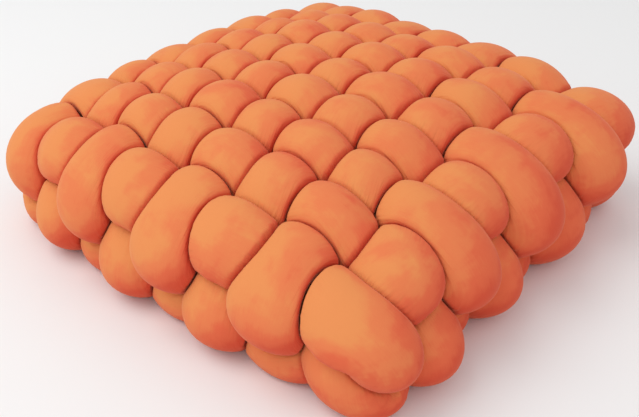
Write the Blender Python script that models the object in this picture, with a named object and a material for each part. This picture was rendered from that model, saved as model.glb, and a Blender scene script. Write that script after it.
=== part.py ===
"""Square floor cushion, hand woven from sixteen fat stuffed velvet tubes.

Eight tubes run along X and eight along Y. Each tube is one closed loop: it crosses the top of the
cushion over and under the others, turns round the edge, comes back below and turns up again.
Metres, +Z up. The origin is on the floor, under the middle of the cushion.
"""

import math

import bmesh
import bpy
import numpy as np

# Weave
TUBES_EACH_WAY = 8
PITCH = 0.0485  # from the middle of one tube to the next
RIM_SPREAD = 0.0028  # how much further out the outermost tubes lie
TURN_REACH = 0.0305  # how far a tube's middle line swings out past the last crossing
TURN_LEAN = 0.30  # how much further out an upper turn swings at its top, and a lower one at its foot
RIM_SWAY = 0.0090  # an outermost tube leans out where it lies on the outside, and in where it is crossed
LOWER_REACH = 0.90  # share of the reach left to a lower turn
CORNER_REACH = 0.65  # share left to the upper turn at a corner
CORNER_TUCK = 0.40  # share left to the lower turn there, which the upper one covers

# Stuffed tube, measured from its middle line
HALF_WIDTH = 0.0322  # sideways, where nothing presses on it
HALF_HEIGHT = 0.0285  # outwards, where nothing presses on it
HALF_HEIGHT_INSIDE = 0.0240  # towards the middle of the cushion
SQUARENESS = 2.05  # 2 is an ellipse, more is boxier
Y_TUBE_FULLNESS = 1.03  # the tubes along Y are stuffed a little fatter
UNEVENNESS = 0.035  # how much one lump differs from the next
SEED = 31

# Heights
FLOOR_SINK = 0.0100  # how much the lumps that it rests on are pressed flat
RIM_LIFT = 0.0025  # how far the rim's lower lumps draw up
EDGE_RISE = 0.0650  # between the middles of the lowest and the highest lumps at the rim
CROWN = 0.0280  # how much more there is in the middle of the cushion
CROWN_POWER = 2.1
CORNER_DROP = 0.0110  # how much less there is at the corners
CORNER_POWER = 3
RIM_POWER = 8  # how sharply the rim's own levels set in
INNER_SHARE = 0.40  # how high the inner middle lines lie in the rise, from the outer one of their side
INNER_SHARE_RIM = 0.42
CORNER_FULLNESS = 0.10  # the lump on top of each corner is fatter

# Pressed faces between the tubes
GAP = 0.0011

# How the woven square has settled out of true. Bends are metres at SETTLE_REACH from the middle.
SETTLE_REACH = 4 * PITCH
WIDTH_SHARE = 0.965  # of the true square's width
HEIGHT_SHARE = 0.94  # of its height, in the middle
SKEW = 0.016
X_BENDS = (0.018, 0.016, 0.011)  # by x times y, by x squared, by y squared
Y_BENDS = (0.009, -0.002, -0.005)
CORNER_PULLS = (0.005, 0.001)  # outwards along X and along Y
TILT = (0.05, -0.01)  # gain in height towards +X and towards +Y
TWIST = -0.08  # towards the two corners where x and y have one sign
DIP = -0.03  # towards the sides
EDGE_DIP = -0.10  # the same, felt only near them
CORNER_LIFT = 0.11  # what the corners keep of it
SETTLED_MIDDLE = (0.0373, -0.0006)

# How far the crossings have slipped: a little everywhere, and more near the corner that leans out most
SLIP = 0.0035
SLIP_SPREAD = 0.6  # pitches
SLIP_SEED = 5
NOTED_SLIPS = (
    # tube along Y, tube along X, slip along X, slip along Y
    (1, 1, -0.005, -0.002),
    (1, 2, 0.003, -0.005),
    (2, 1, -0.005, -0.002),
    (3, 1, 0.005, 0.006),
)

# Where the sections of a tube stand, in pitches from the middle of a crossing
OUTSIDE_STATIONS = (-0.36, -0.15, 0.15, 0.36)
CROSSED_STATIONS = (-0.22, 0.22)
TURN_STATIONS = tuple(math.radians(a) for a in (8, 40, 72, 108, 140, 172))
# Where the edges of a section stand, in degrees from the outward side
SECTION_ANGLES = tuple(math.radians(a) for a in (-18, 18, 52, 86, 126, 180, 234, 274, 308))

VELVET_COLOUR = (0.78, 0.19, 0.055, 1.0)
VELVET_ROUGHNESS = 0.85

# Search for a section's corners, in shares of the tube's free half size
LONGEST_SHARE = 1.3
SHARE_STEP = 0.05
HALVINGS = 12
EASE_ROUNDS = 70
EASE_FACTOR = 0.987
EASE_PARTS = (0.2, 0.4, 0.6, 0.8)

FLOOR_TOUCH = 0.0022  # a corner this near the floor lies on it

BOTTOM_LEVEL = HALF_HEIGHT - FLOOR_SINK

# Grid of distances to a tube's middle line
PATH_STEPS_PER_PITCH = 24
FIELD_STEP = 0.002
FIELD_MARGIN = 0.045  # beyond the middle line, all round
FIELD_TOP = 0.18


def places() -> np.ndarray:
    """Middle lines of the tubes, from one side of the cushion to the other."""
    middle = (TUBES_EACH_WAY - 1) / 2
    out = (np.arange(TUBES_EACH_WAY) - middle) * PITCH
    out[0] -= RIM_SPREAD
    out[-1] += RIM_SPREAD
    return out


PLACES = places()


def rise(along, across):
    """Height of the highest middle line above the lowest one at a place on the cushion."""
    reach = PLACES[-1] + PITCH
    dome = (1 - np.abs(along / reach) ** CROWN_POWER) * (1 - abs(across / reach) ** CROWN_POWER)
    corner = (np.abs(along * across) / PLACES[-1] ** 2) ** CORNER_POWER
    return EDGE_RISE + CROWN * dome - CORNER_DROP * corner


def rim_share(along, across):
    """0 in most of the cushion, rising to 1 on its outermost tubes."""
    return np.clip(np.maximum(np.abs(along), abs(across)) / PLACES[-1], 0, 1) ** RIM_POWER


def floor_level(along, across):
    """Height of the lowest middle line, which draws up a little at the rim."""
    return BOTTOM_LEVEL + RIM_LIFT * rim_share(along, across)


class Tube:
    """One stuffed tube: its closed middle line, and its size at each point of the line."""

    def __init__(self, along_y: bool, number: int, rng) -> None:
        self.along_y = along_y
        self.number = number
        self.name = f"{'v' if along_y else 'u'}_{number + 1}"
        self.place = PLACES[number]
        # A tube along X lies on top where the two numbers add up to an odd one, a tube along Y elsewhere.
        self.first_on_top = 1 if (number % 2 == 1) != along_y else -1
        stuffing = Y_TUBE_FULLNESS if along_y else 1.0
        self.top_size = stuffing + UNEVENNESS * rng.uniform(-1, 1, TUBES_EACH_WAY)
        self.bottom_size = stuffing + UNEVENNESS * rng.uniform(-1, 1, TUBES_EACH_WAY)
        if self.rim_side():
            for end in (0, TUBES_EACH_WAY - 1):
                if self.weave(end) > 0:
                    self.top_size[end] += CORNER_FULLNESS
        self.field = None

    def levels(self, along):
        """Outer and inner height of the middle line, above and below, at a place along the tube."""
        low = floor_level(along, self.place)
        lift = rise(along, self.place)
        share = INNER_SHARE + (INNER_SHARE_RIM - INNER_SHARE) * rim_share(along, self.place)
        return low + lift, low + lift * (1 - share), low + lift * share, low

    def weave(self, crossing):
        """1 where the tube lies uppermost, -1 where it lies lowest, with a smooth run between."""
        return self.first_on_top * np.cos(np.pi * crossing)

    def run(self, crossing, top: bool) -> np.ndarray:
        """Rows of along, height, sideways sway and size on the top or the bottom run."""
        along = np.interp(crossing, np.arange(TUBES_EACH_WAY), PLACES)
        levels = self.levels(along)
        high, low = (levels[0], levels[1]) if top else (levels[2], levels[3])
        wave = self.weave(crossing)
        height = (high + low) / 2 + wave * (high - low) / 2
        sway = self.rim_side() * RIM_SWAY * (wave if top else -wave)
        sizes = self.top_size if top else self.bottom_size
        size = np.interp(crossing, np.arange(TUBES_EACH_WAY), sizes)
        return np.stack([along, height, sway, size], 1)

    def turn(self, angle, far: bool) -> np.ndarray:
        """The same rows on the turn round the edge. The angle runs from the top to the bottom."""
        crossing = np.array([TUBES_EACH_WAY - 1.0 if far else 0.0])
        upper, lower = self.run(crossing, True)[0], self.run(crossing, False)[0]
        share = (1 + np.cos(angle)) / 2
        out = lower + share[:, None] * (upper - lower)
        corner = self.rim_side() != 0
        if self.weave(crossing[0]) > 0:
            reach = TURN_REACH * (CORNER_REACH if corner else 1)
        else:
            reach = TURN_REACH * (CORNER_TUCK if corner else LOWER_REACH)
        swing = np.sin(angle) * (1 + TURN_LEAN * self.weave(crossing) * np.cos(angle))
        out[:, 0] = (1 if far else -1) * (PLACES[-1] + reach * swing)
        return out

    def rim_side(self) -> int:
        """-1 or 1 for the outermost tubes, 0 for the others."""
        return {0: -1, TUBES_EACH_WAY - 1: 1}.get(self.number, 0)

    def loop(self, top_crossings, bottom_crossings, angles) -> np.ndarray:
        """Rows all round the tube: top run, far turn, bottom run back, near turn."""
        return np.concatenate([
            self.run(top_crossings, True),
            self.turn(angles, True),
            self.run(bottom_crossings[::-1], False),
            self.turn(angles[::-1], False),
        ])

    def fine_loop(self) -> np.ndarray:
        """Rows close together all round the tube."""
        runs = np.linspace(0, TUBES_EACH_WAY - 1, (TUBES_EACH_WAY - 1) * PATH_STEPS_PER_PITCH + 1)
        turns = np.linspace(0, np.pi, 2 * PATH_STEPS_PER_PITCH + 1)[1:-1]
        return self.loop(runs, runs, turns)

    def stations(self) -> np.ndarray:
        """Rows where the sections stand."""
        return self.loop(self.crossings(True), self.crossings(False), np.array(TURN_STATIONS))

    def crossings(self, top: bool) -> np.ndarray:
        """Places of the sections on one run, closer together where the tube shows."""
        out = []
        for crossing in range(TUBES_EACH_WAY):
            shows = (self.weave(crossing) > 0) == top
            out += [crossing + offset for offset in (OUTSIDE_STATIONS if shows else CROSSED_STATIONS)]
        return np.array([place for place in out if 0 < place < TUBES_EACH_WAY - 1])


def outward(path: np.ndarray) -> np.ndarray:
    """Unit vectors, in along and height, that point out of the closed loop."""
    step = np.roll(path[:, :2], -1, 0) - np.roll(path[:, :2], 1, 0)
    step /= np.linalg.norm(step, axis=1)[:, None]
    return np.stack([-step[:, 1], step[:, 0]], 1)


class Field:
    """How far each point of a tube's plane is from its middle line, with the sway and size there."""

    def __init__(self, tube: Tube) -> None:
        path = tube.fine_loop()
        normal = outward(path)
        reach = PLACES[-1] + TURN_REACH + FIELD_MARGIN
        self.low = np.array([-reach, -FIELD_MARGIN])
        high = np.array([reach, FIELD_TOP])
        self.count = ((high - self.low) / FIELD_STEP).astype(int) + 1
        along = self.low[0] + FIELD_STEP * np.arange(self.count[0])
        height = self.low[1] + FIELD_STEP * np.arange(self.count[1])
        self.values = np.zeros((self.count[0], self.count[1], 3))
        for row, place in enumerate(along):
            offset = np.stack(np.broadcast_arrays(
                place - path[None, :, 0], height[:, None] - path[None, :, 1]), -1)
            square = (offset ** 2).sum(-1)
            nearest = square.argmin(1)
            picked = offset[np.arange(len(height)), nearest]
            side = np.sign((picked * normal[nearest]).sum(1))
            self.values[row, :, 0] = side * np.sqrt(square.min(1))
            self.values[row, :, 1:] = path[nearest, 2:]

    def at(self, along, height):
        """Signed distance, sway and size at points of the plane."""
        x = np.clip((along - self.low[0]) / FIELD_STEP, 0, self.count[0] - 1.001)
        z = np.clip((height - self.low[1]) / FIELD_STEP, 0, self.count[1] - 1.001)
        i, k = x.astype(int), z.astype(int)
        fx, fz = (x - i)[..., None], (z - k)[..., None]
        near = self.values[i, k] * (1 - fx) + self.values[i + 1, k] * fx
        far = self.values[i, k + 1] * (1 - fx) + self.values[i + 1, k + 1] * fx
        mixed = near * (1 - fz) + far * fz
        return mixed[..., 0], mixed[..., 1], mixed[..., 2]


def fullness(tube: Tube, points: np.ndarray) -> np.ndarray:
    """0 on the tube's middle line, 1 on its free surface, more outside it."""
    along, across = (points[..., 1], points[..., 0]) if tube.along_y else (points[..., 0], points[..., 1])
    distance, sway, size = tube.field.at(along, points[..., 2])
    half_height = np.where(distance > 0, HALF_HEIGHT, HALF_HEIGHT_INSIDE) * size
    sideways = np.abs(across - tube.place - sway) / (HALF_WIDTH * size)
    return (np.abs(distance / half_height) ** SQUARENESS + sideways ** SQUARENESS) ** (1 / SQUARENESS)


def pressed(tube: Tube, others: list, points: np.ndarray) -> np.ndarray:
    """True where a neighbour or the floor keeps the tube out."""
    own = fullness(tube, points)
    out = points[..., 2] < 0
    for other in others:
        out |= own + GAP / HALF_HEIGHT > fullness(other, points)
    return out


def neighbours(tube: Tube, tubes: list) -> list:
    """Every tube that crosses this one, and the two beside it."""
    return [
        other for other in tubes
        if other.along_y != tube.along_y or abs(other.number - tube.number) == 1
    ]


def sections(tube: Tube, tubes: list) -> np.ndarray:
    """Corner points of the tube's sections, one row of them for each station."""
    rows = tube.stations()
    fine = tube.fine_loop()
    nearest = ((rows[:, None, :2] - fine[None, :, :2]) ** 2).sum(-1).argmin(1)
    normal = outward(fine)[nearest]
    angle = np.array(SECTION_ANGLES)
    half_height = np.where(np.cos(angle) > 0, HALF_HEIGHT, HALF_HEIGHT_INSIDE)
    out_part = rows[:, 3, None] * half_height * np.cos(angle)
    side_part = rows[:, 3, None] * HALF_WIDTH * np.sin(angle)
    start = np.stack([rows[:, 0], tube.place + rows[:, 2], rows[:, 1]], 1)[:, None, :]
    way = np.stack([normal[:, None, 0] * out_part, side_part, normal[:, None, 1] * out_part], -1)
    if tube.along_y:
        start, way = start[..., [1, 0, 2]], way[..., [1, 0, 2]]
    others = neighbours(tube, tubes)
    share = ease(tube, others, start, way, reach_of(tube, others, start, way))
    points = start + share[..., None] * way
    points[..., 2] = np.where(points[..., 2] < FLOOR_TOUCH, 0, points[..., 2])
    return points


def reach_of(tube: Tube, others: list, start: np.ndarray, way: np.ndarray) -> np.ndarray:
    """How far along each way the tube goes before it is free, pressed or on the floor."""
    def beyond(share):
        points = start + share[..., None] * way
        return (fullness(tube, points) > 1) | pressed(tube, others, points)

    outside = np.full(way.shape[:2], LONGEST_SHARE)
    for share in np.arange(LONGEST_SHARE, 0, -SHARE_STEP):
        outside = np.where(beyond(np.full_like(outside, share)), share, outside)
    inside = outside - SHARE_STEP
    for _ in range(HALVINGS):
        middle = (inside + outside) / 2
        out = beyond(middle)
        outside = np.where(out, middle, outside)
        inside = np.where(out, inside, middle)
    return inside


def ease(tube: Tube, others: list, start: np.ndarray, way: np.ndarray, share: np.ndarray) -> np.ndarray:
    """Draws the corners in where a flat face between them would cut into a neighbour."""
    for _ in range(EASE_ROUNDS):
        points = start + share[..., None] * way
        after = np.roll(points, -1, 0)
        beside, across = np.roll(points, -1, 1), np.roll(after, -1, 1)
        on_edge = np.zeros(share.shape, bool)
        for part in EASE_PARTS:
            on_edge |= pressed(tube, others, points + part * (after - points))
        on_face = np.zeros(share.shape, bool)
        for part in EASE_PARTS:
            low, high = points + part * (after - points), beside + part * (across - beside)
            for side in EASE_PARTS:
                on_face |= pressed(tube, others, low + side * (high - low))
        hit = on_edge | np.roll(on_edge, 1, 0)
        hit |= on_face | np.roll(on_face, 1, 0) | np.roll(on_face, 1, 1) | np.roll(on_face, (1, 1), (0, 1))
        if not hit.any():
            break
        share = np.where(hit, share * EASE_FACTOR, share)
    return share


def crossing_slips() -> np.ndarray:
    """How far each crossing has slipped along X and Y."""
    out = np.random.default_rng(SLIP_SEED).uniform(-SLIP, SLIP, (TUBES_EACH_WAY, TUBES_EACH_WAY, 2))
    for along_y, along_x, slip_x, slip_y in NOTED_SLIPS:
        out[along_y - 1, along_x - 1] = slip_x, slip_y
    return out


def slip(points: np.ndarray) -> np.ndarray:
    """How far the crossings round each point have slipped, along X and Y."""
    nearness = [
        np.exp(-(((points[..., axis, None] - PLACES) / (SLIP_SPREAD * PITCH)) ** 2) / 2)
        for axis in (0, 1)
    ]
    by_x, by_y = (near / near.sum(-1, keepdims=True) for near in nearness)
    return np.einsum("...a,...b,abk->...k", by_x, by_y, crossing_slips())


def settle(points: np.ndarray) -> np.ndarray:
    """Moves points of the true square weave to where they have settled."""
    x, y = np.moveaxis(points[..., :2] + slip(points), -1, 0)
    u, v = x / SETTLE_REACH, y / SETTLE_REACH
    bends = np.stack([u * v, u ** 2, v ** 2], -1)
    out_x = x + SKEW * v + bends @ X_BENDS + CORNER_PULLS[0] * u * v ** 2
    out_y = y + SKEW * u + bends @ Y_BENDS + CORNER_PULLS[1] * v * u ** 2
    lift = 1 + TILT[0] * u + TILT[1] * v + TWIST * u * v + DIP * (u ** 2 + v ** 2)
    lift += EDGE_DIP * (u ** 4 + v ** 4) + CORNER_LIFT * (u * v) ** 2
    return np.stack([
        WIDTH_SHARE * out_x - SETTLED_MIDDLE[0],
        WIDTH_SHARE * out_y - SETTLED_MIDDLE[1],
        HEIGHT_SHARE * points[..., 2] * lift,
    ], -1)


def velvet() -> bpy.types.Material:
    """Orange velvet."""
    material = bpy.data.materials.new("orange_velvet")
    material.use_nodes = True
    shader = material.node_tree.nodes["Principled BSDF"]
    shader.inputs["Base Color"].default_value = VELVET_COLOUR
    shader.inputs["Roughness"].default_value = VELVET_ROUGHNESS
    shader.inputs["Metallic"].default_value = 0.0
    material.diffuse_color = VELVET_COLOUR
    return material


def model(tube: Tube, tubes: list, material: bpy.types.Material) -> None:
    """The tube's solid: its sections joined into one closed ring."""
    points = settle(sections(tube, tubes))
    rings, corners = points.shape[:2]
    mesh = bmesh.new()
    grid = [[mesh.verts.new(point) for point in ring] for ring in points]
    for ring in range(rings):
        for corner in range(corners):
            after, beside = (ring + 1) % rings, (corner + 1) % corners
            mesh.faces.new((grid[ring][corner], grid[ring][beside], grid[after][beside], grid[after][corner]))
    bmesh.ops.recalc_face_normals(mesh, faces=mesh.faces)
    data = bpy.data.meshes.new(tube.name)
    mesh.to_mesh(data)
    mesh.free()
    data.materials.append(material)
    data.shade_smooth()
    bpy.context.collection.objects.link(bpy.data.objects.new(tube.name, data))


def main() -> None:
    """Clears the scene and models the sixteen tubes."""
    for left in list(bpy.data.objects):
        bpy.data.objects.remove(left, do_unlink=True)
    rng = np.random.default_rng(SEED)
    tubes = [Tube(along_y, number, rng) for along_y in (False, True) for number in range(TUBES_EACH_WAY)]
    for tube in tubes:
        tube.field = Field(tube)
    material = velvet()
    for tube in tubes:
        model(tube, tubes, material)


if __name__ == "__main__":
    main()
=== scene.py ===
"""Looks of the square floor cushion: sixteen stuffed velvet tubes woven over and under each other.

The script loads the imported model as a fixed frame, makes each tube as a smooth plump piece in the
space of its solid, dresses it in orange velvet, and sets the floor, the lights and the camera.
Metres, +Z up. The origin is on the floor, under the middle of the cushion.
"""

import logging
import math
from dataclasses import dataclass, field
from enum import Enum

import bpy
import numpy as np
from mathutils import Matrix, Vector


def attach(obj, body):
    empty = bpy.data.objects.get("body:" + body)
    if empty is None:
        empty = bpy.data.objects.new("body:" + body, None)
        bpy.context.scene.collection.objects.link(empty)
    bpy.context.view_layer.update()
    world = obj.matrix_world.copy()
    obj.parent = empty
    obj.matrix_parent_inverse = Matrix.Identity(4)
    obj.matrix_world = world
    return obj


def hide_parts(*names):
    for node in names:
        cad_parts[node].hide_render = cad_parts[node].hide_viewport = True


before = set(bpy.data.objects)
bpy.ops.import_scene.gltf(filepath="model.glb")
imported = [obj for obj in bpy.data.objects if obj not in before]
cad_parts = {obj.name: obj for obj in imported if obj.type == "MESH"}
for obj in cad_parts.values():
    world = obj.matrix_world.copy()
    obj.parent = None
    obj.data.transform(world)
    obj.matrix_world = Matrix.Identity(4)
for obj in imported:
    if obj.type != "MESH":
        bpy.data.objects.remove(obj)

LOG = logging.getLogger("cushion")


class Run(Enum):
    """The direction that a tube runs in."""

    ALONG_X = "u"
    ALONG_Y = "v"


class Side(Enum):
    """The two runs of a tube's loop."""

    TOP = 1
    BOTTOM = -1


@dataclass(frozen=True)
class Weave:
    """Where the middle lines of the tubes lie."""

    tubes: int = 8
    pitch: float = 0.0485
    rim_spread: float = 0.0028
    turn_reach: float = 0.0305
    turn_lean: float = 0.30
    rim_sway: float = 0.0090
    lower_reach: float = 0.90
    corner_reach: float = 0.65
    corner_tuck: float = 0.40
    bottom_level: float = 0.0185
    rim_lift: float = 0.0025
    rim_power: float = 8.0
    edge_rise: float = 0.0650
    crown: float = 0.0280
    crown_power: float = 2.1
    corner_drop: float = 0.0110
    corner_power: float = 3.0
    inner_share: float = 0.40
    inner_share_rim: float = 0.42

    def places(self) -> np.ndarray:
        """Middle lines of the tubes, from one side of the cushion to the other.

        Returns:
            One place for each tube.
        """
        out = (np.arange(self.tubes) - (self.tubes - 1) / 2) * self.pitch
        out[0] -= self.rim_spread
        out[-1] += self.rim_spread
        return out

    @property
    def edge(self) -> float:
        """How far the outermost middle lines are from the middle of the cushion."""
        return float(self.places()[-1])

    def rise(self, along: np.ndarray, across: float) -> np.ndarray:
        """Height of the highest middle line above the lowest one.

        Args:
            along: Places along a tube.
            across: The tube's own place.

        Returns:
            One height for each place.
        """
        reach = self.edge + self.pitch
        dome = 1 - np.abs(along / reach) ** self.crown_power
        dome = dome * (1 - abs(across / reach) ** self.crown_power)
        corner = (np.abs(along * across) / self.edge**2) ** self.corner_power
        return self.edge_rise + self.crown * dome - self.corner_drop * corner

    def levels(self, along: np.ndarray, across: float) -> tuple[np.ndarray, ...]:
        """Heights of the middle line where it lies outside and inside, above and below.

        Args:
            along: Places along a tube.
            across: The tube's own place.

        Returns:
            Four heights for each place: top outer, top inner, bottom inner, bottom outer.
        """
        rim = np.clip(np.maximum(np.abs(along), abs(across)) / self.edge, 0, 1) ** self.rim_power
        low = self.bottom_level + self.rim_lift * rim
        lift = self.rise(along, across)
        share = self.inner_share + (self.inner_share_rim - self.inner_share) * rim
        return low + lift, low + lift * (1 - share), low + lift * share, low


@dataclass(frozen=True)
class Settling:
    """How the woven square has settled out of true. Bends are metres at the reach from the middle."""

    weave: Weave = Weave()
    reach_pitches: float = 4.0
    width_share: float = 0.965
    height_share: float = 0.94
    skew: float = 0.016
    x_bends: tuple[float, float, float] = (0.018, 0.016, 0.011)
    y_bends: tuple[float, float, float] = (0.009, -0.002, -0.005)
    corner_pulls: tuple[float, float] = (0.005, 0.001)
    tilt: tuple[float, float] = (0.05, -0.01)
    twist: float = -0.08
    dip: float = -0.03
    edge_dip: float = -0.10
    corner_lift: float = 0.11
    middle: tuple[float, float] = (0.0373, -0.0006)
    slip_size: float = 0.0035
    slip_spread: float = 0.6
    slip_seed: int = 5
    noted_slips: tuple[tuple[int, int, float, float], ...] = (
        # tube along Y, tube along X, slip along X, slip along Y
        (1, 1, -0.005, -0.002),
        (1, 2, 0.003, -0.005),
        (2, 1, -0.005, -0.002),
        (3, 1, 0.005, 0.006),
    )

    def crossing_slips(self) -> np.ndarray:
        """How far each crossing has slipped: a little at random, more where a slip is noted.

        Returns:
            Metres along X and Y, by tube along Y and by tube along X.
        """
        shape = (self.weave.tubes, self.weave.tubes, 2)
        out = np.random.default_rng(self.slip_seed).uniform(-self.slip_size, self.slip_size, shape)
        for along_y, along_x, slip_x, slip_y in self.noted_slips:
            out[along_y - 1, along_x - 1] = slip_x, slip_y
        return out

    def slip(self, points: np.ndarray) -> np.ndarray:
        """How far the crossings round each point have slipped.

        Args:
            points: Points of the true square weave.

        Returns:
            Metres along X and Y for each point.
        """
        places, spread = self.weave.places(), self.slip_spread * self.weave.pitch
        nearness = [np.exp(-(((points[..., axis, None] - places) / spread) ** 2) / 2) for axis in (0, 1)]
        by_x, by_y = (near / near.sum(-1, keepdims=True) for near in nearness)
        return np.einsum("...a,...b,abk->...k", by_x, by_y, self.crossing_slips())

    def settle(self, points: np.ndarray) -> np.ndarray:
        """Moves points of the true square weave to where they have settled.

        Args:
            points: Points in space, with the coordinates last.

        Returns:
            The moved points.
        """
        x, y = np.moveaxis(points[..., :2] + self.slip(points), -1, 0)
        reach = self.reach_pitches * self.weave.pitch
        u, v = x / reach, y / reach
        bends = np.stack([u * v, u**2, v**2], -1)
        out_x = x + self.skew * v + bends @ self.x_bends + self.corner_pulls[0] * u * v**2
        out_y = y + self.skew * u + bends @ self.y_bends + self.corner_pulls[1] * v * u**2
        lift = 1 + self.tilt[0] * u + self.tilt[1] * v + self.twist * u * v + self.dip * (u**2 + v**2)
        lift += self.edge_dip * (u**4 + v**4) + self.corner_lift * (u * v) ** 2
        return np.stack([
            self.width_share * out_x - self.middle[0],
            self.width_share * out_y - self.middle[1],
            self.height_share * points[..., 2] * lift,
        ], -1)


@dataclass(frozen=True)
class Stuffing:
    """Size and form of a tube where nothing presses on it, and how it yields where something does."""

    half_width: float = 0.0322
    half_height: float = 0.0285
    half_height_inside: float = 0.0240
    squareness: float = 2.05
    fullness_along_y: float = 1.03
    unevenness: float = 0.035
    corner_fullness: float = 0.10
    gap: float = 0.0012
    lip: float = 0.05
    floor_lip: float = 0.10
    seed: int = 31


@dataclass
class Line:
    """A tube's closed middle line, its size at each point and the sideways sway of its crossings."""

    run: Run
    number: int
    weave: Weave
    stuffing: Stuffing
    sizes: dict[Side, np.ndarray] = field(default_factory=dict)

    @property
    def name(self) -> str:
        """Name of the node that the tube stands for."""
        return f"{self.run.value}_{self.number + 1}"

    @property
    def place(self) -> float:
        """Where the tube lies across its own direction."""
        return float(self.weave.places()[self.number])

    @property
    def rim_side(self) -> int:
        """-1 or 1 for the outermost tubes, 0 for the others."""
        return {0: -1, self.weave.tubes - 1: 1}.get(self.number, 0)

    def stuff(self, rng: np.random.Generator) -> None:
        """Draws the size of each of the tube's lumps.

        Args:
            rng: Source of the small differences between the lumps.
        """
        full = self.stuffing.fullness_along_y if self.run is Run.ALONG_Y else 1.0
        for side in (Side.TOP, Side.BOTTOM):
            self.sizes[side] = full + self.stuffing.unevenness * rng.uniform(-1, 1, self.weave.tubes)
        if self.rim_side:
            for end in (0, self.weave.tubes - 1):
                if self.over(end) > 0:
                    self.sizes[Side.TOP][end] += self.stuffing.corner_fullness

    def over(self, crossing: np.ndarray) -> np.ndarray:
        """1 where the tube lies uppermost, -1 where it lies lowest, with a smooth run between."""
        first = 1 if (self.number % 2 == 1) != (self.run is Run.ALONG_Y) else -1
        return first * np.cos(np.pi * crossing)

    def along_run(self, crossing: np.ndarray, side: Side) -> np.ndarray:
        """Points of the middle line on one of the two runs.

        Args:
            crossing: Places in numbers of crossings, from 0 at one end to 7 at the other.
            side: The top or the bottom run.

        Returns:
            Rows of along, height, sway and size.
        """
        count = np.arange(self.weave.tubes)
        along = np.interp(crossing, count, self.weave.places())
        levels = self.weave.levels(along, self.place)
        high, low = levels[:2] if side is Side.TOP else levels[2:]
        wave = self.over(crossing)
        height = (high + low) / 2 + wave * (high - low) / 2
        sway = self.rim_side * self.weave.rim_sway * wave * side.value
        return np.stack([along, height, sway, np.interp(crossing, count, self.sizes[side])], 1)

    def round_turn(self, angle: np.ndarray, far: bool) -> np.ndarray:
        """Points of the middle line where it turns round the edge.

        Args:
            angle: Angles from 0 at the top to pi at the bottom.
            far: True at the end where the crossings' numbers are highest.

        Returns:
            Rows of along, height, sway and size.
        """
        crossing = np.array([self.weave.tubes - 1.0 if far else 0.0])
        upper, lower = self.along_run(crossing, Side.TOP)[0], self.along_run(crossing, Side.BOTTOM)[0]
        height = (1 + np.cos(angle)) / 2
        out = lower + height[:, None] * (upper - lower)
        if self.over(crossing[0]) > 0:
            share = self.weave.corner_reach if self.rim_side else 1
        else:
            share = self.weave.corner_tuck if self.rim_side else self.weave.lower_reach
        swing = np.sin(angle) * (1 + self.weave.turn_lean * self.over(crossing) * np.cos(angle))
        out[:, 0] = (1 if far else -1) * (self.weave.edge + self.weave.turn_reach * share * swing)
        return out

    def loop(self, steps: int) -> tuple[np.ndarray, np.ndarray]:
        """The whole middle line.

        Args:
            steps: Points between two crossings.

        Returns:
            Rows of along, height, sway and size, and for each row the direction out of the cushion.
        """
        runs = np.linspace(0, self.weave.tubes - 1, (self.weave.tubes - 1) * steps + 1)
        turns = np.linspace(0, np.pi, 2 * steps + 1)[1:-1]
        rows = np.concatenate([
            self.along_run(runs, Side.TOP),
            self.round_turn(turns, True),
            self.along_run(runs[::-1], Side.BOTTOM),
            self.round_turn(turns[::-1], False),
        ])
        flat, swing = np.zeros_like(runs), np.stack([np.sin(turns), np.cos(turns)], 1)
        out = np.concatenate([
            np.stack([flat, flat + 1], 1),
            swing,
            np.stack([flat, flat - 1], 1),
            swing[::-1] * [-1, 1],
        ])
        return rows, out


@dataclass
class Field:
    """How far each point of a tube's plane is from its middle line, with the sway and size there."""

    line: Line
    step: float = 0.0015
    margin: float = 0.045
    top: float = 0.18
    path_steps: int = 24
    last_cell: float = 1.001  # keeps a point beyond the grid inside its last cell
    low: np.ndarray = field(init=False)
    values: np.ndarray = field(init=False)

    def __post_init__(self) -> None:
        """Fills the grid."""
        path, _ = self.line.loop(self.path_steps)
        ahead = np.roll(path[:, :2], -1, 0) - np.roll(path[:, :2], 1, 0)
        ahead /= np.linalg.norm(ahead, axis=1)[:, None]
        normal = np.stack([-ahead[:, 1], ahead[:, 0]], 1)
        reach = self.line.weave.edge + self.line.weave.turn_reach + self.margin
        self.low = np.array([-reach, -self.margin])
        along = np.arange(-reach, reach + self.step, self.step)
        height = np.arange(-self.margin, self.top, self.step)
        self.values = np.zeros((len(along), len(height), 3))
        for row, place in enumerate(along):
            offset = np.stack(
                np.broadcast_arrays(place - path[None, :, 0], height[:, None] - path[None, :, 1]), -1
            )
            square = (offset**2).sum(-1)
            nearest = square.argmin(1)
            picked = offset[np.arange(len(height)), nearest]
            side = np.sign((picked * normal[nearest]).sum(1))
            self.values[row, :, 0] = side * np.sqrt(square.min(1))
            self.values[row, :, 1:] = path[nearest, 2:]

    def at(self, along: np.ndarray, height: np.ndarray) -> tuple[np.ndarray, ...]:
        """Values at points of the plane.

        Args:
            along: Places along the tube.
            height: Heights above the floor.

        Returns:
            Signed distance, sway and size at each point.
        """
        most = np.array(self.values.shape[:2]) - self.last_cell
        x = np.clip((along - self.low[0]) / self.step, 0, most[0])
        z = np.clip((height - self.low[1]) / self.step, 0, most[1])
        i, k = x.astype(int), z.astype(int)
        fx, fz = (x - i)[..., None], (z - k)[..., None]
        near = self.values[i, k] * (1 - fx) + self.values[i + 1, k] * fx
        far = self.values[i, k + 1] * (1 - fx) + self.values[i + 1, k + 1] * fx
        mixed = near * (1 - fz) + far * fz
        return mixed[..., 0], mixed[..., 1], mixed[..., 2]


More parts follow.
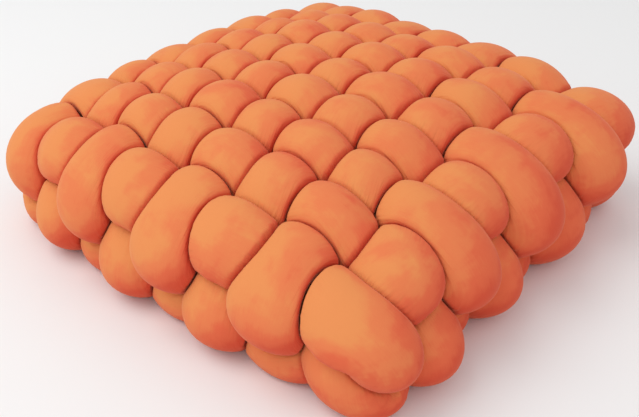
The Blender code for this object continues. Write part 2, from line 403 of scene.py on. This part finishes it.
@dataclass(frozen=True)
class Velvet:
    """Orange velvet with a short pile, with painted light and shade: yellow-orange where it faces roughly
    the key lamp's way, red where it turns away, in random patches.
    """

    name: str = "orange_velvet"
    # painted light: roughly the way of the key lamp; skin that faces it is painted lighter and yellower
    painted_light_way: tuple[float, float, float] = (-0.53, 0.40, 0.75)
    lit_and_shaded_tones: tuple[tuple[float, tuple[float, ...]], ...] = (
        # how far the skin faces the painted light's way, with random patches, then the colour: painted
        # shade at the low end, painted light at the high end
        (0.16, (0.66, 0.090, 0.045, 1.0)),
        (0.42, (0.73, 0.138, 0.062, 1.0)),
        (0.64, (0.76, 0.205, 0.080, 1.0)),
        (0.90, (0.77, 0.272, 0.093, 1.0)),
    )
    middle_tone: float = 0.33  # where the surface faces at right angles to the painted light's way
    noise_detail: float = 3.0
    noise_distortion: float = 0.5
    patch_scale: float = 24.0
    patch_share: float = 0.95
    mottle_scale: float = 120.0
    mottle_share: float = 0.22
    # how strongly the painted light and shade show in the colour
    painted_light_share: float = 0.58
    streak_scale: tuple[float, float, float] = (40.0, 420.0, 1.0)
    streak_detail: float = 2.0
    streak_share: float = 0.12
    gather_scale: tuple[float, float, float] = (30.0, 210.0, 1.0)
    gather_height: float = 0.0022
    pile_scale: float = 1400.0
    pile_height: float = 0.0004
    pile_strength: float = 0.35
    roughness: float = 0.95
    specular: float = 0.08
    sheen: float = 0.30
    sheen_roughness: float = 0.35
    sheen_tint: tuple[float, ...] = (1.0, 0.66, 0.42, 1.0)

    def noise(
        self, tree: bpy.types.NodeTree, place: bpy.types.Node, scale: float
    ) -> bpy.types.NodeSocket:
        """Adds one noise over the object's own coordinates.

        Args:
            tree: The material's nodes.
            place: Its texture coordinates.
            scale: Waves in a metre.

        Returns:
            Values round 0.5.
        """
        node = tree.nodes.new("ShaderNodeTexNoise")
        node.inputs["Scale"].default_value = scale
        node.inputs["Detail"].default_value = self.noise_detail
        node.inputs["Distortion"].default_value = self.noise_distortion
        tree.links.new(place.outputs["Object"], node.inputs["Vector"])
        return node.outputs["Fac"]

    def add(
        self,
        tree: bpy.types.NodeTree,
        value: bpy.types.NodeSocket,
        share: float,
        rest: bpy.types.NodeSocket | float,
    ) -> bpy.types.NodeSocket:
        """Adds a share of one value to another value or number.

        Args:
            tree: The material's nodes.
            value: The value that is multiplied.
            share: What it is multiplied by.
            rest: A socket or a number that is added.

        Returns:
            The sum.
        """
        node = tree.nodes.new("ShaderNodeMath")
        node.operation = "MULTIPLY_ADD"
        node.inputs[1].default_value = share
        tree.links.new(value, node.inputs[0])
        if isinstance(rest, float):
            node.inputs[2].default_value = rest
        else:
            tree.links.new(rest, node.inputs[2])
        return node.outputs[0]

    def painted_light_and_patches(self, tree: bpy.types.NodeTree, place: bpy.types.Node) -> bpy.types.NodeSocket:
        """Painted light and shade with random tone: how far the skin faces the key lamp's way, with
        patches, mottle and streaks, from about 0 to 1.

        Args:
            tree: The material's nodes.
            place: Its texture coordinates.

        Returns:
            The value.
        """
        # painted light: the normal's dot with roughly the key lamp's way lightens the skin that faces it
        # and reddens the skin turned away
        facing = tree.nodes.new("ShaderNodeVectorMath")
        facing.operation = "DOT_PRODUCT"
        facing.inputs[1].default_value = self.painted_light_way
        tree.links.new(place.outputs["Normal"], facing.inputs[0])
        start = self.middle_tone - (self.patch_share + self.mottle_share + self.streak_share) / 2
        tone = self.add(tree, facing.outputs["Value"], self.painted_light_share, start)
        tone = self.add(tree, self.noise(tree, place, self.patch_scale), self.patch_share, tone)
        tone = self.add(tree, self.noise(tree, place, self.mottle_scale), self.mottle_share, tone)
        return self.add(tree, self.streaks(tree, place, self.streak_scale), self.streak_share, tone)

    def streaks(
        self, tree: bpy.types.NodeTree, place: bpy.types.Node, scale: tuple[float, float, float]
    ) -> bpy.types.NodeSocket:
        """Adds a noise that is drawn out along the cloth.

        Args:
            tree: The material's nodes.
            place: Its texture coordinates.
            scale: Waves in a metre along the tube and round it.

        Returns:
            Values round 0.5.
        """
        stretch = tree.nodes.new("ShaderNodeMapping")
        stretch.inputs["Scale"].default_value = scale
        tree.links.new(place.outputs["UV"], stretch.inputs["Vector"])
        node = tree.nodes.new("ShaderNodeTexNoise")
        node.inputs["Scale"].default_value = 1.0
        node.inputs["Detail"].default_value = self.streak_detail
        tree.links.new(stretch.outputs["Vector"], node.inputs["Vector"])
        return node.outputs["Fac"]

    def pile(self, tree: bpy.types.NodeTree, place: bpy.types.Node) -> bpy.types.NodeSocket:
        """The grain of the pile, and the gathers of the cloth where a crease draws it in.

        Args:
            tree: The material's nodes.
            place: Its texture coordinates.

        Returns:
            Normals.
        """
        bump = tree.nodes.new("ShaderNodeBump")
        bump.inputs["Strength"].default_value = self.pile_strength
        bump.inputs["Distance"].default_value = self.pile_height
        tree.links.new(self.noise(tree, place, self.pile_scale), bump.inputs["Height"])
        nearness = tree.nodes.new("ShaderNodeAttribute")
        nearness.attribute_name = "gather"
        height = tree.nodes.new("ShaderNodeMath")
        height.operation = "MULTIPLY"
        tree.links.new(nearness.outputs["Fac"], height.inputs[0])
        tree.links.new(self.streaks(tree, place, self.gather_scale), height.inputs[1])
        folds = tree.nodes.new("ShaderNodeBump")
        folds.inputs["Distance"].default_value = self.gather_height
        tree.links.new(height.outputs[0], folds.inputs["Height"])
        tree.links.new(bump.outputs["Normal"], folds.inputs["Normal"])
        return folds.outputs["Normal"]

    def make(self) -> bpy.types.Material:
        """Builds the node tree.

        Returns:
            The material.
        """
        material = bpy.data.materials.new(self.name)
        material.use_nodes = True
        tree = material.node_tree
        shader = tree.nodes["Principled BSDF"]
        shader.inputs["Roughness"].default_value = self.roughness
        shader.inputs["Specular IOR Level"].default_value = self.specular
        shader.inputs["Sheen Weight"].default_value = self.sheen
        shader.inputs["Sheen Roughness"].default_value = self.sheen_roughness
        shader.inputs["Sheen Tint"].default_value = self.sheen_tint
        place = tree.nodes.new("ShaderNodeTexCoord")
        ramp = tree.nodes.new("ShaderNodeValToRGB")
        ramp.color_ramp.interpolation = "EASE"
        stops = ramp.color_ramp.elements
        for position, _ in self.lit_and_shaded_tones[1:-1]:
            stops.new(position)
        for stop, (position, colour) in zip(stops, self.lit_and_shaded_tones):
            stop.position = position
            stop.color = colour
        # painted light and shade in the base colour: red where the skin turns from the key lamp,
        # yellow-orange where it faces it, with random patches
        tree.links.new(self.painted_light_and_patches(tree, place), ramp.inputs["Fac"])
        tree.links.new(ramp.outputs["Color"], shader.inputs["Base Color"])
        tree.links.new(self.pile(tree, place), shader.inputs["Normal"])
        material.diffuse_color = self.lit_and_shaded_tones[1][1]
        return material


@dataclass
class StuffedTube:
    """One plump tube of velvet, pressed against the tubes that cross it and those beside it."""

    line: Line
    settling: Settling = Settling()
    steps: int = 28
    round_steps: int = 58
    crowding: float = 0.42
    gather_reach: float = 0.20
    shortest: float = 0.25
    longest: float = 1.75
    share_step: float = 0.1
    halvings: int = 9

    def fullness(self, form: Field, points: np.ndarray) -> np.ndarray:
        """0 on a tube's middle line, 1 on its free surface, more outside it.

        Args:
            form: The tube's own grid.
            points: Points in space.

        Returns:
            One value for each point.
        """
        x, y = points[..., 0], points[..., 1]
        along, across = (y, x) if form.line.run is Run.ALONG_Y else (x, y)
        stuffing = form.line.stuffing
        distance, sway, size = form.at(along, points[..., 2])
        half = np.where(distance > 0, stuffing.half_height, stuffing.half_height_inside) * size
        sideways = np.abs(across - form.line.place - sway) / (stuffing.half_width * size)
        power = stuffing.squareness
        return (np.abs(distance / half) ** power + sideways**power) ** (1 / power)

    def outside(self, own: Field, others: list[Field], points: np.ndarray) -> np.ndarray:
        """Less than 0 inside the pressed tube, more than 0 outside it.

        Args:
            own: The tube's own grid.
            others: Grids of the tubes that press on it.
            points: Points in space.

        Returns:
            One value for each point.
        """
        stuffing = self.line.stuffing
        full = self.fullness(own, points)
        out = full - 1
        for other in others:
            wall = (full - self.fullness(other, points)) / 2 + stuffing.gap / stuffing.half_height / 2
            out = soft_max(out, wall, stuffing.lip)
        floor = -points[..., 2] / stuffing.half_height
        return soft_max(out, floor, stuffing.floor_lip)

    def gathers(self, own: Field, others: list[Field], points: np.ndarray) -> np.ndarray:
        """How near each point is to a crease, where the cloth is gathered.

        Args:
            own: The tube's own grid.
            others: Grids of the tubes that press on it.
            points: Points of its skin.

        Returns:
            1 in a crease, falling to almost 0 a centimetre away.
        """
        full = self.fullness(own, points)
        room = np.min([self.fullness(other, points) - full for other in others], axis=0)
        return np.exp(-np.maximum(room, 0) / self.gather_reach)

    def skin(self, fields: dict[str, Field]) -> tuple[np.ndarray, np.ndarray]:
        """Points of the tube's skin, and how near each is to a crease.

        Args:
            fields: The grid of each tube, by name.

        Returns:
            An array of rings by points by three, and one of rings by points.
        """
        rows, out = self.line.loop(self.steps)
        even = np.linspace(0, 2 * np.pi, self.round_steps, endpoint=False)
        angle = even - self.crowding * np.sin(even)
        stuffing = self.line.stuffing
        half = np.where(np.cos(angle) > 0, stuffing.half_height, stuffing.half_height_inside)
        outward = rows[:, 3, None] * half * np.cos(angle)
        sideways = rows[:, 3, None] * stuffing.half_width * np.sin(angle)
        start = np.stack([rows[:, 0], self.line.place + rows[:, 2], rows[:, 1]], 1)[:, None, :]
        way = np.stack([out[:, None, 0] * outward, sideways, out[:, None, 1] * outward], -1)
        if self.line.run is Run.ALONG_Y:
            start, way = start[..., [1, 0, 2]], way[..., [1, 0, 2]]
        own = fields[self.line.name]
        others = [form for form in fields.values() if self.meets(form.line)]

        def beyond(share: np.ndarray) -> np.ndarray:
            """True for each way on which the point at this share lies outside the pressed tube."""
            return self.outside(own, others, start + share[..., None] * way) > 0

        low = np.full(way.shape[:2], self.shortest)
        high = np.full(way.shape[:2], self.longest)
        open_still = np.ones(way.shape[:2], bool)
        for share in np.arange(self.shortest, self.longest, self.share_step):
            out_now = beyond(np.full_like(low, share)) & open_still
            high[out_now] = share
            low[out_now] = share - self.share_step
            open_still &= ~out_now
        for _ in range(self.halvings):
            middle = (low + high) / 2
            far = beyond(middle)
            high = np.where(far, middle, high)
            low = np.where(far, low, middle)
        points = start + low[..., None] * way
        return self.settling.settle(points), self.gathers(own, others, points)

    def meets(self, other: Line) -> bool:
        """True for a tube that crosses this one or lies beside it."""
        return other.run is not self.line.run or abs(other.number - self.line.number) == 1

    def build(self, fields: dict[str, Field]) -> bpy.types.Object:
        """Makes the tube's mesh.

        Args:
            fields: The grid of each tube, by name.

        Returns:
            The new object.
        """
        points, gathers = self.skin(fields)
        rings, around = points.shape[:2]
        index = np.arange(rings * around).reshape(rings, around)
        after, beside = np.roll(index, -1, 0), np.roll(index, -1, 1)
        faces = np.stack([index, beside, np.roll(after, -1, 1), after], -1).reshape(-1, 4)
        if self.line.run is Run.ALONG_X:
            faces = faces[:, ::-1]
        mesh = bpy.data.meshes.new(f"velvet_tube_{self.line.name}")
        mesh.from_pydata(points.reshape(-1, 3).tolist(), [], faces.tolist())
        self.lay_cloth(mesh, rings, around)
        mesh.attributes.new("gather", "FLOAT", "POINT").data.foreach_set("value", gathers.ravel())
        mesh.shade_smooth()
        piece = bpy.data.objects.new(mesh.name, mesh)
        bpy.context.collection.objects.link(piece)
        return piece

    def lay_cloth(self, mesh: bpy.types.Mesh, rings: int, around: int) -> None:
        """Gives the mesh a UV map in metres, along the tube and round it.

        Args:
            mesh: The tube's mesh.
            rings: Its rings.
            around: Points of a ring.
        """
        girth = 2 * math.pi * self.line.stuffing.half_width
        along = np.arange(rings)[:, None, None] + (0, 0, 1, 1)
        across = np.arange(around)[None, :, None] + (0, 1, 1, 0)
        along = along * self.line.weave.pitch / self.steps
        along, across = np.broadcast_arrays(along, across * girth / around)
        laid = np.stack([along, across], -1).reshape(-1, 4, 2)
        if self.line.run is Run.ALONG_X:
            laid = laid[:, ::-1]
        mesh.uv_layers.new(name="cloth").data.foreach_set("uv", laid.ravel())

    def dress(self, piece: bpy.types.Object, velvet: bpy.types.Material) -> None:
        """Gives the tube its velvet and its place in the frame.

        Args:
            piece: The tube's object.
            velvet: Its material.
        """
        piece.data.materials.append(velvet)
        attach(piece, "root")
        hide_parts(self.line.name)


def soft_max(first: np.ndarray, second: np.ndarray, width: float) -> np.ndarray:
    """The larger of two values, with a rounded change from one to the other.

    Args:
        first: Values.
        second: Values.
        width: Difference under which the two are mixed.

    Returns:
        One value for each pair.
    """
    near = np.maximum(width - np.abs(first - second), 0) / width
    return np.maximum(first, second) + near**2 * width / 4


@dataclass
class Cushion:
    """All sixteen tubes."""

    weave: Weave = Weave()
    stuffing: Stuffing = Stuffing()
    velvet: Velvet = Velvet()

    def lines(self) -> list[Line]:
        """Middle lines of the tubes, those along X first.

        Returns:
            Sixteen lines with their sizes drawn.
        """
        rng = np.random.default_rng(self.stuffing.seed)
        out = [
            Line(run, number, self.weave, self.stuffing)
            for run in Run
            for number in range(self.weave.tubes)
        ]
        for line in out:
            line.stuff(rng)
        return out

    def build(self) -> None:
        """Makes and dresses every tube."""
        lines = self.lines()
        fields = {line.name: Field(line) for line in lines}
        velvet = self.velvet.make()
        for line in lines:
            tube = StuffedTube(line)
            piece = tube.build(fields)
            tube.dress(piece, velvet)
            LOG.info("%s: %d faces", piece.name, len(piece.data.polygons))


@dataclass(frozen=True)
class Studio:
    """A plain pale floor under soft light."""

    floor_size: float = 12.0
    floor_colour: tuple[float, ...] = (0.86, 0.86, 0.86, 1.0)
    floor_roughness: float = 0.9
    world_colour: tuple[float, ...] = (1.0, 1.0, 1.0, 1.0)
    world_strength: float = 0.75
    key_power: float = 16.0
    key_size: float = 1.6
    key_place: tuple[float, float, float] = (-0.9, 0.7, 1.7)
    fill_power: float = 5.0
    fill_size: float = 2.2
    fill_place: tuple[float, float, float] = (-1.4, -1.2, 1.2)

    def floor(self) -> None:
        """Lays the floor."""
        bpy.ops.mesh.primitive_plane_add(size=self.floor_size)
        plane = bpy.context.object
        plane.name = "studio_floor"
        material = bpy.data.materials.new("pale_floor")
        material.use_nodes = True
        shader = material.node_tree.nodes["Principled BSDF"]
        shader.inputs["Base Color"].default_value = self.floor_colour
        shader.inputs["Roughness"].default_value = self.floor_roughness
        plane.data.materials.append(material)

    def lamp(self, name: str, power: float, size: float, place: tuple[float, float, float]) -> None:
        """Hangs one soft square lamp that faces the cushion.

        Args:
            name: Name of the lamp.
            power: Watts.
            size: Side of the square.
            place: Where it hangs.
        """
        data = bpy.data.lights.new(name, "AREA")
        data.energy = power
        data.size = size
        lamp = bpy.data.objects.new(name, data)
        lamp.location = place
        lamp.rotation_euler = (-Vector(place)).to_track_quat("-Z", "Y").to_euler()
        bpy.context.collection.objects.link(lamp)

    def build(self) -> None:
        """Sets the floor, the lamps and the light all round."""
        self.floor()
        self.lamp("key_lamp", self.key_power, self.key_size, self.key_place)
        self.lamp("fill_lamp", self.fill_power, self.fill_size, self.fill_place)
        world = bpy.data.worlds.new("studio_light")
        world.use_nodes = True
        background = world.node_tree.nodes["Background"]
        background.inputs["Color"].default_value = self.world_colour
        background.inputs["Strength"].default_value = self.world_strength
        bpy.context.scene.world = world
        bpy.context.scene.view_settings.view_transform = "Standard"


@dataclass(frozen=True)
class Camera:
    """The camera of the photograph's viewing angle."""

    target: tuple[float, float, float] = (-0.0294, -0.0110, -0.0052)
    azimuth: float = math.radians(222.13)
    elevation: float = math.radians(31.07)
    distance: float = 0.7245
    lens: float = 45.84
    sensor: float = 36.0
    clip_start: float = 0.02

    def build(self) -> None:
        """Places the camera."""
        level = math.cos(self.elevation)
        back = Vector((
            level * math.cos(self.azimuth),
            level * math.sin(self.azimuth),
            math.sin(self.elevation),
        ))
        data = bpy.data.cameras.new("photo_camera")
        data.lens = self.lens
        data.sensor_width = self.sensor
        data.clip_start = self.clip_start
        camera = bpy.data.objects.new("photo_camera", data)
        camera.location = Vector(self.target) + self.distance * back
        camera.rotation_euler = (-back).to_track_quat("-Z", "Y").to_euler()
        bpy.context.collection.objects.link(camera)
        bpy.context.scene.camera = camera


def main() -> None:
    """Builds the scene and notes its size."""
    logging.basicConfig(level=logging.INFO, format="%(name)s: %(message)s")
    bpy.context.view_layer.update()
    Camera().build()
    Studio().build()
    Cushion().build()


if __name__ == "__main__":
    main()
